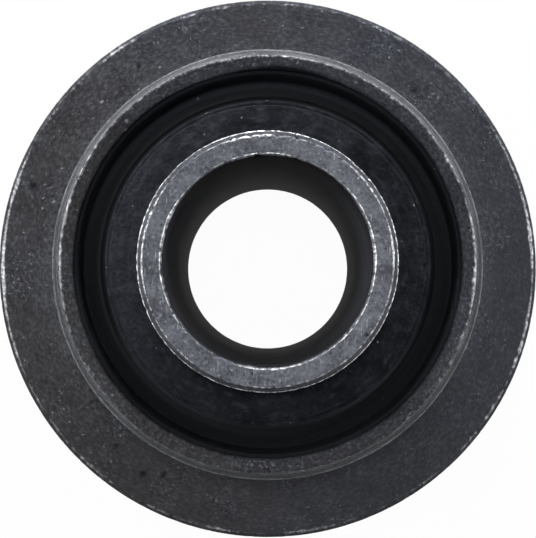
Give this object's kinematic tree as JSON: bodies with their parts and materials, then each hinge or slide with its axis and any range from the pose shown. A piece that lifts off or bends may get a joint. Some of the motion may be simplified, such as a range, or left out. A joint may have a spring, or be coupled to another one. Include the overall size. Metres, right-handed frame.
{
  "type": "rubber metal bush",
  "caption": "Bonded rubber bush: a thick inner sleeve for a bolt, a rubber body with ring grooves at its ends, and a turned steel outer sleeve with a lead-in and a wide round flange.",
  "frame": {"origin": "on the axis, at the foot of the inner sleeve, which is the end that the flange is at", "axes": "+Z along the axis, from the flange end up to the free end; X and Y are alike, because the part is round"},
  "size_m": [0.0532, 0.0532, 0.05],
  "materials": {
    "inner_steel": "blasted and phosphated steel, grey, worn bright on its edges",
    "rubber": "matt moulded black rubber with scuffs and dust",
    "outer_steel": "dark phosphated steel, mottled, worn bright on its edges"
  },
  "bodies": {
    "root": {"inner_sleeve": "inner_steel", "rubber_body": "rubber", "outer_sleeve": "outer_steel"}
  },
  "joints": []
}
